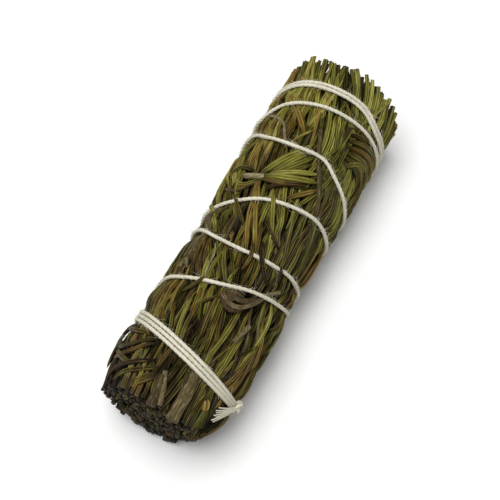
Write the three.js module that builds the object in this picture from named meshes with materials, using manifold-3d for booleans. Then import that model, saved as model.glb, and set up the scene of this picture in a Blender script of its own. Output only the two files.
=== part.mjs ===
// A rosemary smudge stick: dried rosemary sprigs laid side by side, bound with one cotton string, trimmed
// at both ends and lying on its side. Millimetres, Z up. X runs along the bundle from the cut stems to the
// trimmed tips, and z = 0 is the surface that the bundle lies on.
import * as THREE from "three";
import { mergeVertices } from "three/addons/utils/BufferGeometryUtils.js";
import Module from "manifold-3d";

// Driving dimensions
const LENGTH = 102;
const AXIS_HEIGHT = 15.6;
const GIRTH = [
  [-51, 14.9],
  [-44, 16.3],
  [-28, 16.8],
  [0, 16.1],
  [26, 17.2],
  [42, 16.9],
  [51, 15.6],
];
const STRING_DIAMETER = 1.1;
const STRING_PITCH = 1.2;
const STRING_SINK = 0.35;
const STRING_SIDES = 6;
const STRING_STEP_DEG = 22;
const STRING_SAG = 0.3;
const STRING_LIFT = 0.4;
const BITE_WIDTH = 2.6;
const CLEARANCE = 0.3;
const OUTER_SPRIGS = 12;
const INNER_SPRIGS = 4;
const RING_RADIUS = 9.2;
const CORE_DEPTH = 3.9;
const CORE_SHORT = 3;
const CORE_STEPS = 5;
const NEEDLE_WIDTH = 1.5;
const NEEDLE_HEIGHT = 0.9;
const NEEDLE_LENGTH = 29;
const LAYER = 1.1;
const ROOT_RADIUS = 11.2;
const ROOT_SHARE = 0.14;
const STEM_DIAMETER = 2.6;
const FLOOR_BITE = 0.9;
const LOW_SIDE = -0.88;
const SEED = 7;

const HALF = LENGTH / 2;
const rad = THREE.MathUtils.degToRad;
const { lerp, clamp, smoothstep } = THREE.MathUtils;

// Seeded random draws, so that every run grows the same bundle
let seedState = SEED;
function draw(low, high) {
  seedState = (seedState * 1664525 + 1013904223) % 4294967296;
  return lerp(low, high, seedState / 4294967296);
}

// A smooth curve through hand-chosen pairs of place and value
function smoothThrough(pairs) {
  const slope = (i) => {
    const a = pairs[Math.max(i - 1, 0)];
    const b = pairs[Math.min(i + 1, pairs.length - 1)];
    return (b[1] - a[1]) / (b[0] - a[0]);
  };
  return (at) => {
    const found = pairs.findIndex((pair) => pair[0] > at);
    const i = found < 0 ? pairs.length - 2 : Math.max(found - 1, 0);
    const [[a, valueA], [b, valueB]] = [pairs[i], pairs[i + 1]];
    const span = b - a;
    const t = clamp((at - a) / span, 0, 1);
    const bend = t * (1 - t) * span;
    const ease = t * t * (3 - 2 * t);
    return lerp(valueA, valueB, ease) + bend * ((1 - t) * slope(i) - t * slope(i + 1));
  };
}

// The bundle's shape. A place on it is x and an angle from the top of the bundle towards -Y.
const girth = smoothThrough(GIRTH);

function place(x, angle, radius) {
  return new THREE.Vector3(x, -radius * Math.sin(angle), AXIS_HEIGHT + radius * Math.cos(angle));
}

// How far out a flat at this height under the axis lies, along a ray at this angle
function flatRadius(angle, height) {
  const down = -Math.cos(angle);
  return down > 0.2 ? height / down : Infinity;
}

// The sprigs are twisted a little together, more in some places than in others
function twist(x) {
  return rad(5) * Math.sin(x / 21 + 0.6) + rad(2.5) * Math.sin(x / 8.5);
}

// The string's route: total angle in degrees, counted on through the turns, and x.
// Three tilted turns bind the stems, six open turns climb to the tips and two turns bind them.
const BASE_BAND = { start: 97, turns: 3, x: -35.1, tilt: 5.5, lowAt: 62, shift: -2.1 };
const CLIMB = [
  [1260, -29.5],
  [1322, -24.5],
  [1382, -20.6],
  [1410, -20],
  [1443, -18.3],
  [1472, -15.5],
  [1510, -12.7],
  [1540, -10.6],
  [1620, -7.5],
  [1700, -5],
  [1741, -4.6],
  [1776, -6.9],
  [1800, -7.5],
  [1836, -6.4],
  [1857, -5.4],
  [1900, -4.8],
  [1980, -3],
  [2060, 0.3],
  [2103, 2.3],
  [2129, 4.6],
  [2154, 7.5],
  [2181, 9.5],
  [2210, 11],
  [2242, 10.5],
  [2270, 10.7],
  [2340, 14.5],
  [2420, 22.5],
  [2459, 26.2],
  [2489, 25.1],
  [2516, 24.8],
  [2544, 25.4],
  [2562, 23.4],
  [2582, 21.7],
  [2608, 19.8],
  [2660, 19.8],
  [2740, 25],
  [2790, 31],
  [2819, 33.5],
  [2843, 36.7],
  [2868, 38.4],
  [2900, 39.6],
  [2930, 40],
  [2960, 39.4],
  [3060, 38.6],
  [3140, 40],
];
const TIP_BAND = [
  [3179, 42.6],
  [3204, 44],
  [3239, 44.7],
  [3272, 44.6],
  [3300, 42.4],
  [3420, 40],
  [3500, 41.4],
];
const STRING_END = [3780, 41.3];

function baseBand() {
  const { start, turns, x, tilt, lowAt, shift } = BASE_BAND;
  const points = [];
  for (let turned = 0; turned <= turns * 360; turned += 30) {
    const lean = tilt * Math.cos(rad(start + turned - lowAt));
    points.push([start + turned, x - lean + shift + (STRING_PITCH * turned) / 360]);
  }
  return points;
}

const SECOND_TURN = TIP_BAND.slice(0, 5).map(([angle, x]) => [angle + 360, x + STRING_PITCH]);
const ROUTE = [...baseBand(), ...CLIMB, ...TIP_BAND, ...SECOND_TURN, STRING_END];
const routeX = smoothThrough(ROUTE);
const ROUTE_START = ROUTE[0][0];
const ROUTE_END = STRING_END[0];

function stringRadius(x, angle) {
  const lowest = AXIS_HEIGHT - STRING_DIAMETER / 2 - STRING_LIFT;
  return Math.min(girth(x) - STRING_SINK, flatRadius(angle, lowest));
}

// How strongly the string holds the herbs down here: 1 under the string, 0 midway between turns
function hold(x, angle) {
  const turn = THREE.MathUtils.radToDeg(THREE.MathUtils.euclideanModulo(angle, 2 * Math.PI));
  let most = 0;
  for (let total = turn; total <= ROUTE_END; total += 360) {
    if (total >= ROUTE_START) {
      const away = (x - routeX(total)) / BITE_WIDTH;
      most = Math.max(most, Math.exp(-away * away));
    }
  }
  return most;
}

// The outer limit of the needles: it bulges between the turns and is pressed flat beneath
function skin(x, angle) {
  const bulge = Math.min(girth(x), flatRadius(angle, AXIS_HEIGHT + FLOOR_BITE));
  const bed = stringRadius(x, angle) - STRING_DIAMETER / 2 - CLEARANCE - STRING_SAG;
  return lerp(bulge, Math.min(bulge, bed), hold(x, angle));
}

// Hollows in the laid sprigs, where folded and crossing pieces lie on them
const BEDS = [
  { x: 18, angle: -2, reachX: 9, reachAngle: 40, depth: 1.3 },
  { x: 34, angle: 66, reachX: 8, reachAngle: 40, depth: 1.3 },
  { x: -18, angle: 34, reachX: 7, reachAngle: 32, depth: 1.6 },
];

function bedDepth(x, angle) {
  const turn = Math.atan2(Math.sin(angle), Math.cos(angle));
  const depths = BEDS.map((bed) => {
    const u = (x - bed.x) / bed.reachX;
    const v = (turn - rad(bed.angle)) / rad(bed.reachAngle);
    return bed.depth * Math.exp(-((u * u + v * v) ** 2));
  });
  return Math.max(...depths);
}

const skinUnderBeds = (x, angle) => skin(x, angle) - bedDepth(x, angle);

// Solids
const wasm = await Module();
wasm.setup();

function solidOf(geometry) {
  const bare = geometry.clone();
  bare.deleteAttribute("normal");
  bare.deleteAttribute("uv");
  const merged = mergeVertices(bare, 1e-4);
  return new wasm.Manifold(
    new wasm.Mesh({
      numProp: 3,
      vertProperties: new Float32Array(merged.getAttribute("position").array),
      triVerts: new Uint32Array(merged.index.array),
    }),
  );
}

function geometryOf(solid) {
  const mesh = solid.getMesh();
  const geometry = new THREE.BufferGeometry();
  geometry.setAttribute("position", new THREE.BufferAttribute(mesh.vertProperties, 3));
  geometry.setIndex(new THREE.BufferAttribute(mesh.triVerts, 1));
  geometry.computeVertexNormals();
  return geometry;
}

const fuse = (solids) => wasm.Manifold.union(solids);

function largestBody(solid) {
  const bodies = solid.decompose();
  return bodies.reduce((best, body) => (body.volume() > best.volume() ? body : best));
}

// Moves every vertex of a geometry by a rule
function warp(geometry, rule) {
  const position = geometry.getAttribute("position");
  for (let i = 0; i < position.count; i += 1) {
    const moved = rule(position.getX(i), position.getY(i), position.getZ(i));
    position.setXYZ(i, moved.x, moved.y, moved.z);
  }
  return geometry;
}

// One needle, stem or twig that follows the bundle. path(t) gives [x, angle, depth of its top under the
// limit]. It is a bar of few sides, laid along the path with one edge outwards.
function strand({ path, width, height, sides = 3, stations, pointed = false, limit = skin }) {
  const steps = stations.length - 1;
  const bar = pointed
    ? new THREE.ConeGeometry(1, 1, sides, steps, false, Math.PI / 2)
    : new THREE.CylinderGeometry(1, 1, 1, sides, steps, false, Math.PI / 2);
  const lowest = Math.min(...[...Array(sides).keys()].map((k) => Math.cos((2 * Math.PI * k) / sides)));
  return solidOf(
    warp(bar, (lift, along, lateral) => {
      const share = along + 0.5;
      const t = stations[Math.round(share * steps)];
      const shrink = pointed ? Math.max(1 - share, 1e-6) : 1;
      const [x, angle, depth] = path(t);
      const [nextX, nextAngle] = path(t + 0.01);
      const radius = limit(x, angle) - depth;
      const ahead = new THREE.Vector2(nextX - x, (nextAngle - angle) * radius).normalize();
      const across = ((lateral / shrink) * width(t)) / 2;
      const up = ((lift / shrink - 1) / (1 - lowest)) * height(t);
      const tip = pointed && share > 0.999;
      const side = tip ? 0 : across;
      const rise = tip ? -height(t) / 2 : up;
      return place(x + side * ahead.y, angle - (side * ahead.x) / radius, radius + rise);
    }),
  );
}

// Twice as many bends, for the needles underneath that lie flat on the surface
function halved(marks) {
  const middles = marks.slice(1).map((mark, i) => (mark + marks[i]) / 2);
  return [...marks, ...middles].sort((a, b) => a - b);
}

// Where a needle needs a bend: its ends, under each turn of the string, at both sides of a band of turns,
// and midway between turns
function bends(path, extra) {
  const samples = 60;
  const heldAt = [...Array(samples + 1).keys()].map((i) => {
    const [x, angle] = path(i / samples);
    return hold(x, angle) > 0.9;
  });
  const presses = [];
  let start = -1;
  heldAt.forEach((held, i) => {
    if (held && start < 0) {
      start = i;
    }
    if (start >= 0 && (!held || i === samples)) {
      presses.push([start / samples, (i - 1) / samples]);
      start = -1;
    }
  });
  const inside = presses.filter(([a, b]) => a > 0.08 && b < 0.94);
  const stations = inside.flatMap(([a, b]) => (path(b)[0] - path(a)[0] > 2.5 ? [a, b] : [(a + b) / 2]));
  const between = inside.slice(1).map(([a], i) => (a + inside[i][1]) / 2);
  const added = extra.filter((t) => stations.every((station) => Math.abs(station - t) > 0.1));
  const marks = [0, ...stations, ...between, ...added, 1].sort((a, b) => a - b);
  const underneath = Math.cos(path(0.5)[1]) < LOW_SIDE;
  return underneath ? halved(marks) : marks;
}

// A rosemary needle. Its root is sunk in the sprig at the start of its path, or at the end of it where the
// start is cut off, and it rises from the root to its own layer.
function needle({ from, to, layer, rootLast, cut }) {
  const path = (t) => {
    const away = rootLast ? 1 - t : t;
    const x = lerp(from[0], to[0], t);
    const angle = lerp(from[1], to[1], t);
    const rootDepth = skinUnderBeds(x, angle) - ROOT_RADIUS;
    return [x, angle, lerp(rootDepth, layer, clamp(away / ROOT_SHARE, 0, 1))];
  };
  const bend = rootLast ? 1 - ROOT_SHARE : ROOT_SHARE;
  return strand({
    path,
    width: (t) => NEEDLE_WIDTH * (cut ? 1 : 1 - 0.35 * t * t),
    height: () => NEEDLE_HEIGHT,
    stations: bends(path, [bend]),
    pointed: !cut,
    limit: skinUnderBeds,
  });
}

// A bare round stem or twig on a path
function stem({ path, diameter, taper = 0, sides = 6, stations = [0, 0.5, 1], limit = girth }) {
  const thick = (t) => diameter * (1 - taper * t);
  return strand({ path, width: thick, height: thick, sides, stations, limit });
}

// The inner mass of a sprig: its packed needles, between two rays and two radii of the bundle
function packedCore({ middle, turn, spread, inner, outer, facets }) {
  const outline = new THREE.Shape([new THREE.Vector2(-1, 0), new THREE.Vector2(1, 0)]);
  for (let i = 0; i <= facets; i += 1) {
    outline.lineTo(lerp(1, -1, i / facets), 1);
  }
  const prism = new THREE.ExtrudeGeometry(outline, { depth: 1, steps: CORE_STEPS, bevelEnabled: false });
  const [from, to] = [-HALF + CORE_SHORT, HALF - CORE_SHORT];
  return solidOf(
    warp(prism, (across, out, along) => {
      const x = lerp(from, to, along);
      const rough = middle + turn(x);
      const radius = lerp(inner, outer(x, rough), out);
      const angle = rough - across * (spread - CLEARANCE / (2 * radius));
      return place(x, angle, radius);
    }),
  );
}

// A straight short needle that shows at a trimmed end
function endStub({ x, inward, angle, turn, radius }) {
  const [low, high] = [Math.min(x, inward), Math.max(x, inward)];
  return strand({
    path: (t) => [lerp(low, high, t), angle + turn(lerp(low, high, t)), 0],
    width: () => NEEDLE_WIDTH,
    height: () => NEEDLE_HEIGHT,
    stations: [0, 1],
    limit: () => radius,
  });
}

// Short needles spread over a sprig's share of both trimmed ends
function endStubs({ middle, turn, spread, inner, outer, count }) {
  const stubs = [];
  for (const end of [-1, 1]) {
    for (let i = 0; i < count; i += 1) {
      const share = (i + draw(0.2, 0.8)) / count;
      const x = end * (HALF - draw(0, 1.8));
      const radius = Math.sqrt(lerp((inner + 1.6) ** 2, (outer - 2) ** 2, share));
      const room = spread - (NEEDLE_WIDTH / 2 + CLEARANCE) / radius;
      const angle = middle + draw(-1, 1) * Math.max(room, 0);
      const inward = end * (HALF - CORE_SHORT - 4);
      stubs.push(endStub({ x, inward, angle, turn, radius }));
    }
  }
  return stubs;
}

// Sprigs of the outer ring
const OUTER_SPREAD = Math.PI / OUTER_SPRIGS;
const LANES = 4;

function coreLimit(x, angle) {
  return Math.min(girth(x) - CORE_DEPTH, flatRadius(angle, AXIS_HEIGHT - CORE_DEPTH));
}

// Keeps a needle's place across the sprig inside the sprig's own share of the bundle
function laneAngle(middle, across) {
  const room = OUTER_SPREAD - (NEEDLE_WIDTH / 2 + CLEARANCE / 2) / (GIRTH[0][1] - LAYER);
  return middle + across * room;
}

function laidNeedles(middle) {
  const needles = [];
  for (let lane = 0; lane < LANES; lane += 1) {
    const across = lerp(-0.95, 0.95, lane / (LANES - 1));
    const layer = lane % 2 === 0 ? LAYER : LAYER / 4;
    let x = -HALF + draw(0, 1.2);
    while (x < HALF - 8) {
      const first = x < -HALF + 2;
      const reach = NEEDLE_LENGTH * (first ? draw(0.4, 0.8) : draw(0.8, 1.15));
      const last = x + reach > HALF - 10;
      const tip = last ? HALF - draw(0, 1.6) : x + reach;
      const lean = clamp(across + draw(-0.1, 0.1), -1, 1);
      needles.push(
        needle({
          from: [x, laneAngle(middle + twist(x), across)],
          to: [tip, laneAngle(middle + twist(tip), lean)],
          layer: layer + draw(0, 0.25),
          rootLast: first,
          cut: first || last,
        }),
      );
      x = tip - draw(0.3, 1.5);
    }
  }
  return needles;
}

// The woody stem, bare and cut at the stem end
function sprigStem({ middle, turn, outer, diameter }) {
  const cut = -HALF + draw(0, 1.4);
  return stem({
    path: (t) => {
      const x = lerp(cut, -HALF + CORE_SHORT + 3, t);
      return [x, middle + turn(x), 0];
    },
    diameter,
    taper: 0.2,
    limit: () => outer,
  });
}

function outerSprig(index) {
  const middle = (2 * Math.PI * index) / OUTER_SPRIGS;
  const share = { middle, spread: OUTER_SPREAD, turn: twist };
  return fuse([
    packedCore({ ...share, inner: RING_RADIUS, outer: coreLimit, facets: 1 }),
    ...laidNeedles(middle),
    ...endStubs({ ...share, inner: RING_RADIUS, outer: GIRTH[0][1], count: 3 }),
    sprigStem({ ...share, outer: draw(12.8, 13.6), diameter: STEM_DIAMETER * draw(0.8, 1.2) }),
  ]);
}

// Sprigs in the middle of the bundle, which show only at its two ends
function innerSprig(index) {
  const middle = (2 * Math.PI * (index + 0.5)) / INNER_SPRIGS;
  const share = { middle, spread: Math.PI / INNER_SPRIGS, inner: 0.6, turn: () => 0 };
  const outer = RING_RADIUS * Math.cos(OUTER_SPREAD) - CLEARANCE;
  return fuse([
    packedCore({ ...share, outer: () => outer, facets: 4 }),
    ...endStubs({ ...share, outer: outer + 1.2, count: 5 }),
    sprigStem({ ...share, outer: 6.6, diameter: STEM_DIAMETER * draw(0.9, 1.2) }),
  ]);
}

// A sprig tip laid across the bundle under the string: its cut stem and the fan of its needles
const CROSSING = {
  stem: [[-36, 13.2], [-8, 14.8]],
  tips: [[6, 26], [13, 25.4], [20, 23.6], [26, 21.4], [31, 19.2], [29, 16.6], [22, 13.8], [12, 11.8]],
};

function crossingSprig(grow) {
  const [start, end] = CROSSING.stem;
  const along = (t) => [lerp(start[1], end[1], t), rad(lerp(start[0], end[0], t))];
  const twig = stem({ path: (t) => [...along(t), 0.1 - grow], diameter: 1.7 + 2 * grow, limit: skin });
  const fan = CROSSING.tips.map(([angle, x], i) => {
    const from = along(lerp(0.35, 0.9, (i % 4) / 3));
    const bow = rad(i < 4 ? -3 : 3);
    return fanNeedle({ from, to: [x, rad(angle)], bow, grow });
  });
  return fuse([twig, ...fan]);
}

// A needle of a folded piece, which lies on top of the laid sprigs from end to end
function fanNeedle({ from, to, bow, grow }) {
  const path = (t) => [
    lerp(from[0], to[0], t),
    lerp(from[1], to[1], t) + bow * t * (1 - t) * 4,
    0.15 - grow,
  ];
  return strand({
    path,
    width: (t) => NEEDLE_WIDTH * (1 - 0.35 * t * t) + 2 * grow,
    height: () => NEEDLE_HEIGHT + 2 * grow,
    stations: bends(path, [0.5]),
    pointed: grow === 0,
  });
}

// A sprig tip folded over the side, with its needles bowed round the bundle
const FOLDED = {
  stem: [[30, 38.2], [44, 28.6]],
  tips: [[76, 40.6], [88, 39.4], [100, 37.6], [98, 34.2], [92, 30.6], [84, 28], [72, 30.8]],
};

function foldedSprig(grow) {
  const [start, end] = FOLDED.stem;
  const along = (t) => [lerp(start[1], end[1], t), rad(lerp(start[0], end[0], t))];
  const twig = stem({ path: (t) => [...along(t), 0.2 - grow], diameter: 1.6 + 2 * grow, limit: skin });
  const fan = FOLDED.tips.map(([angle, x], i) =>
    fanNeedle({ from: along(i / FOLDED.tips.length), to: [x, rad(angle)], bow: rad(4), grow }),
  );
  return fuse([twig, ...fan]);
}

// A bare twig, curled as it dried, held under one turn of the string
const CURLED = [[9, -20.4], [17, -21.6], [27, -21.2], [35, -18.8], [42, -16], [50, -12.4], [57, -10.4]];

function curledTwig(grow) {
  const last = CURLED.length - 1;
  const angles = smoothThrough(CURLED.map(([angle], i) => [i / last, angle]));
  const places = smoothThrough(CURLED.map(([, x], i) => [i / last, x]));
  return stem({
    path: (t) => [places(t), rad(angles(t)), -grow],
    diameter: 1.9 + 2 * grow,
    taper: 0.45,
    stations: [0, 0.17, 0.33, 0.5, 0.67, 0.83, 1],
    limit: skin,
  });
}

// The cotton string, one length from its knotted tail to the end tucked under the last turns
function stringTube(points, diameter) {
  const path = new THREE.CatmullRomCurve3(points);
  path.arcLengthDivisions = points.length * 8;
  const section = new THREE.Shape();
  section.absarc(0, 0, diameter / 2, 0, 2 * Math.PI);
  const round = new THREE.Shape(section.getPoints(STRING_SIDES / 2).slice(0, STRING_SIDES));
  const steps = points.length - 1;
  return solidOf(new THREE.ExtrudeGeometry(round, { steps, extrudePath: path, bevelEnabled: false }));
}

const KNOT = { angle: 88, x: -39.6 };
const TAIL = [[88, -39.8], [78, -41.6], [68, -44.6], [60, -47.2]];

function cottonString(grow) {
  const diameter = STRING_DIAMETER + 2 * grow;
  const turns = [];
  for (let total = ROUTE_START; total <= ROUTE_END; total += STRING_STEP_DEG) {
    const x = routeX(total);
    turns.push(place(x, rad(total), stringRadius(x, rad(total))));
  }
  const tail = TAIL.map(([angle, x], i) => {
    const onTop = girth(x) + STRING_DIAMETER / 2 + CLEARANCE;
    return place(x, rad(angle), onTop + (i === 0 ? 0.5 : 0));
  });
  return fuse([stringTube(turns, diameter), stringTube(tail, diameter), knot(grow)]);
}

// The overhand knot on the base band
function knot(grow) {
  const at = place(KNOT.x, rad(KNOT.angle), girth(KNOT.x) + 0.2);
  const lump = grow > 0
    ? new THREE.SphereGeometry(2.2 + grow, 10, 6)
    : new THREE.TorusKnotGeometry(1.15, STRING_DIAMETER / 2, 36, 5, 2, 3);
  lump.scale(1, 1, 0.6);
  lump.rotateX(Math.PI / 2 + rad(90 - KNOT.angle));
  lump.translate(at.x, at.y, at.z);
  return solidOf(lump);
}

// Assembly
const string = cottonString(0);
const overlying = [crossingSprig, foldedSprig, curledTwig];
const ground = solidOf(new THREE.BoxGeometry(2 * LENGTH, LENGTH, LENGTH).translate(0, 0, -LENGTH / 2));
const stringRoom = cottonString(CLEARANCE);
const room = fuse([stringRoom, ground, ...overlying.map((piece) => piece(CLEARANCE))]);

const LEAF_TONES = [0x5b5a24, 0x66602a, 0x4d4f22, 0x6e6a2e];

function leaf(index) {
  const color = LEAF_TONES[index % LEAF_TONES.length];
  return new THREE.MeshStandardMaterial({ color, roughness: 0.7, metalness: 0 });
}

const woody = new THREE.MeshStandardMaterial({ color: 0x6b5a44, roughness: 0.85, metalness: 0 });
const cotton = new THREE.MeshStandardMaterial({ color: 0xe9e5d6, roughness: 0.95, metalness: 0 });

const bundle = new THREE.Group();

function add(name, solid, material) {
  const mesh = new THREE.Mesh(geometryOf(solid), material);
  mesh.name = name;
  bundle.add(mesh);
}

const numbered = (name, index) => `${name}_${String(index + 1).padStart(2, "0")}`;

for (let i = 0; i < OUTER_SPRIGS; i += 1) {
  add(numbered("outer_sprig", i), largestBody(outerSprig(i).subtract(room)), leaf(i));
}
for (let i = 0; i < INNER_SPRIGS; i += 1) {
  add(numbered("inner_sprig", i), largestBody(innerSprig(i)), leaf(i + 1));
}
add("crossing_sprig", largestBody(crossingSprig(0).subtract(stringRoom)), leaf(3));
add("folded_sprig", largestBody(foldedSprig(0).subtract(stringRoom)), leaf(1));
add("curled_twig", largestBody(curledTwig(0).subtract(stringRoom)), woody);
add("cotton_string", string, cotton);

// The origin is under the middle of the bundle, on the surface that it lies on
const box = new THREE.Box3().setFromObject(bundle);
const middle = box.getCenter(new THREE.Vector3());
bundle.position.set(-middle.x, -middle.y, -box.min.z);

const smudgeStick = new THREE.Group();
smudgeStick.add(bundle);

export default smudgeStick;
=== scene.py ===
import math

import bpy
import numpy as np
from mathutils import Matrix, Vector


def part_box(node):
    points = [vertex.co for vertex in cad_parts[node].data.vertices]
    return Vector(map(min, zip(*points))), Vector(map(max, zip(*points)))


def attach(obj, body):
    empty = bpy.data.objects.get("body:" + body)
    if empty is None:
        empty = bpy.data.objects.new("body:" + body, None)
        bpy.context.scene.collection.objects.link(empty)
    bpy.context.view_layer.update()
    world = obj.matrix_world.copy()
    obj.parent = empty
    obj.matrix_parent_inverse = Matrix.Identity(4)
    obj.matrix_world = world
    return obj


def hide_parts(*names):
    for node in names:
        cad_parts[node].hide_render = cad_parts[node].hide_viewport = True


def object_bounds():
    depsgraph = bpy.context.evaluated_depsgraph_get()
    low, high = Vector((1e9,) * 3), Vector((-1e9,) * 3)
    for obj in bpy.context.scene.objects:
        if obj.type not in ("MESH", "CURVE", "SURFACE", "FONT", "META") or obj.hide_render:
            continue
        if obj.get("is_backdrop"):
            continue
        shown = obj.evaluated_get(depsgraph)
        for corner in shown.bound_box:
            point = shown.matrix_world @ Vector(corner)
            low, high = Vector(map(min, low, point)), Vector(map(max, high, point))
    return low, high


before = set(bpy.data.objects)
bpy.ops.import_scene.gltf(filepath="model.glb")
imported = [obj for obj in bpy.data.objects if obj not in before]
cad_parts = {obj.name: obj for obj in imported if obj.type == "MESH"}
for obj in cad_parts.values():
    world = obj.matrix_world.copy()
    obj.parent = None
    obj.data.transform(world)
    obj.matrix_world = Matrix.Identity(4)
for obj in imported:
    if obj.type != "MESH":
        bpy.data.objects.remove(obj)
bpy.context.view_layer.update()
bpy.ops.object.select_all(action="DESELECT")

# Rosemary needles
# Each needle is one dried leaf of the herb, a narrow blade whose edges rolled under as it dried, with a
# groove down the middle of its upper side. It grows from a stem, and the stem alone holds it.
MM = 0.001
NEEDLE_CORNERS = ((0, 0.4), (0.52, 0.92), (1, -0.25), (0, -0.9), (-1, -0.25), (-0.52, 0.92))
NEEDLE_MARKS = (0, 0.07, 0.17, 0.28, 0.39, 0.5, 0.61, 0.72, 0.83, 0.93, 1)
WHOLE_WIDTHS = (0.4, 0.62, 0.84, 0.96, 1, 1, 0.98, 0.92, 0.78, 0.5, 0.12)
TIP_CUT_WIDTHS = (0.4, 0.62, 0.84, 0.96, 1, 1, 1, 0.99, 0.98, 0.96, 0.94)
ROOT_CUT_WIDTHS = (0.92, 0.95, 0.97, 1, 1, 1, 0.98, 0.92, 0.78, 0.5, 0.12)


def strand_form(corners, marks, widths):
    """One straight strand of unit length, modelled from its end ring and read back for bending."""
    bpy.ops.mesh.primitive_circle_add(
        vertices=len(corners), radius=1, fill_type="NGON", rotation=(0, math.pi / 2, 0)
    )
    strand = bpy.context.object
    bpy.ops.object.transform_apply(location=False, rotation=True, scale=False)
    for vertex, (across, up) in zip(strand.data.vertices, corners):
        vertex.co = (0, across, up)
    bpy.ops.object.mode_set(mode="EDIT")
    bpy.ops.mesh.select_all(action="SELECT")
    bpy.ops.transform.resize(value=(1, widths[0], widths[0]), center_override=(0, 0, 0))
    for last, mark, before, width in zip(marks, marks[1:], widths, widths[1:]):
        bpy.ops.mesh.extrude_region_move(TRANSFORM_OT_translate={"value": (mark - last, 0, 0)})
        bpy.ops.transform.resize(value=(1, width / before, width / before), center_override=(mark, 0, 0))
    bpy.ops.mesh.inset(thickness=0.3 * widths[-1], depth=-0.15 * (marks[-1] - marks[-2]))
    bpy.ops.mesh.select_all(action="SELECT")
    bpy.ops.mesh.normals_make_consistent(inside=False)
    bpy.ops.object.mode_set(mode="OBJECT")
    corners_at = np.array([vertex.co for vertex in strand.data.vertices])
    faces = [list(face.vertices) for face in strand.data.polygons]
    bpy.data.objects.remove(strand)
    nearest = np.abs(corners_at[:, :1] - np.array(marks)).argmin(axis=1)
    return {"marks": np.array(marks), "at": corners_at, "mark": nearest, "faces": faces}


whole_needle = strand_form(NEEDLE_CORNERS, NEEDLE_MARKS, WHOLE_WIDTHS)
tip_cut_needle = strand_form(NEEDLE_CORNERS, NEEDLE_MARKS, TIP_CUT_WIDTHS)
root_cut_needle = strand_form(NEEDLE_CORNERS, NEEDLE_MARKS, ROOT_CUT_WIDTHS)


class Wire:
    """A socket of a material. Arithmetic on it adds Math nodes, and make adds any other node."""

    def __init__(self, tree, socket=None):
        self.tree = tree
        self.socket = socket

    def make(self, kind, settings=None, values=None, output=0):
        node = self.tree.nodes.new(kind)
        for name, setting in (settings or {}).items():
            if name == "stops":
                ramp = node.color_ramp
                while len(ramp.elements) < len(setting):
                    ramp.elements.new(1)
                for element, (spot, colour) in zip(ramp.elements, setting):
                    element.position = spot
                    element.color = (*colour, 1)
            else:
                setattr(node, name, setting)
        for name, value in (values or {}).items():
            if isinstance(value, Wire):
                self.tree.links.new(value.socket, node.inputs[name])
            else:
                node.inputs[name].default_value = value
        return Wire(self.tree, node.outputs[output] if node.outputs else None)

    def sum(self, operation, first, second):
        return self.make("ShaderNodeMath", {"operation": operation}, {0: first, 1: second})

    def __add__(self, other):
        return self.sum("ADD", self, other)

    def __radd__(self, other):
        return self.sum("ADD", other, self)

    def __sub__(self, other):
        return self.sum("SUBTRACT", self, other)

    def __rsub__(self, other):
        return self.sum("SUBTRACT", other, self)

    def __mul__(self, other):
        return self.sum("MULTIPLY", self, other)

    def __rmul__(self, other):
        return self.sum("MULTIPLY", other, self)

    def __abs__(self):
        return self.make("ShaderNodeMath", {"operation": "ABSOLUTE"}, {0: self})

    def parts(self):
        split = self.make("ShaderNodeSeparateXYZ", None, {0: self})
        node = split.socket.node
        return [Wire(self.tree, socket) for socket in node.outputs]

    def ease(self, low, high):
        """A smooth step from 0 at low to 1 at high."""
        edges = {"Value": self, "From Min": low, "From Max": high}
        return self.make("ShaderNodeMapRange", {"interpolation_type": "SMOOTHSTEP"}, edges)

    def point(self, x, y, z):
        return self.make("ShaderNodeCombineXYZ", None, {"X": x, "Y": y, "Z": z})

    def noise(self, point, scale, detail):
        values = {"Vector": point, "Scale": scale, "Detail": detail}
        return self.make("ShaderNodeTexNoise", None, values, "Fac")

    def ramp(self, stops):
        return self.make("ShaderNodeValToRGB", {"stops": stops}, {0: self})

    def blend(self, share, under, over):
        """The colour under, covered by the colour over as far as share says."""
        return self.make("ShaderNodeMix", {"data_type": "RGBA"}, {0: share, 6: under, 7: over}, 2)


def new_finish(name):
    """A bare material and the start of its wiring."""
    finish = bpy.data.materials.new(name)
    finish.use_nodes = True
    finish.node_tree.nodes.clear()
    return finish, Wire(finish.node_tree)


def close_finish(wire, colour, roughness, bump, bump_depth, **constants):
    """Joins colour, roughness and relief to the surface of a material."""
    relief = {"Height": bump, "Distance": bump_depth, "Strength": 1}
    values = {"Base Color": colour, "Roughness": roughness}
    values["Normal"] = wire.make("ShaderNodeBump", None, relief)
    values.update({name.replace("_", " "): value for name, value in constants.items()})
    surface = wire.make("ShaderNodeBsdfPrincipled", None, values)
    wire.make("ShaderNodeOutputMaterial", None, {"Surface": surface})


GREEN_STOPS = (
    (0, (0.007, 0.006, 0.0015)),
    (0.25, (0.032, 0.029, 0.005)),
    (0.5, (0.1, 0.096, 0.014)),
    (0.78, (0.23, 0.215, 0.036)),
    (1, (0.42, 0.39, 0.11)),
)
BROWN_STOPS = (
    (0, (0.007, 0.004, 0.0015)),
    (0.25, (0.034, 0.02, 0.006)),
    (0.5, (0.105, 0.064, 0.014)),
    (0.78, (0.225, 0.145, 0.028)),
    (1, (0.38, 0.275, 0.08)),
)
# The pale straw colour below is a painted highlight, streaked along the needle ridges.
HIGHLIGHT_STRAW = (0.4, 0.37, 0.22, 1)
FELT = (0.27, 0.26, 0.19, 1)

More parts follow.
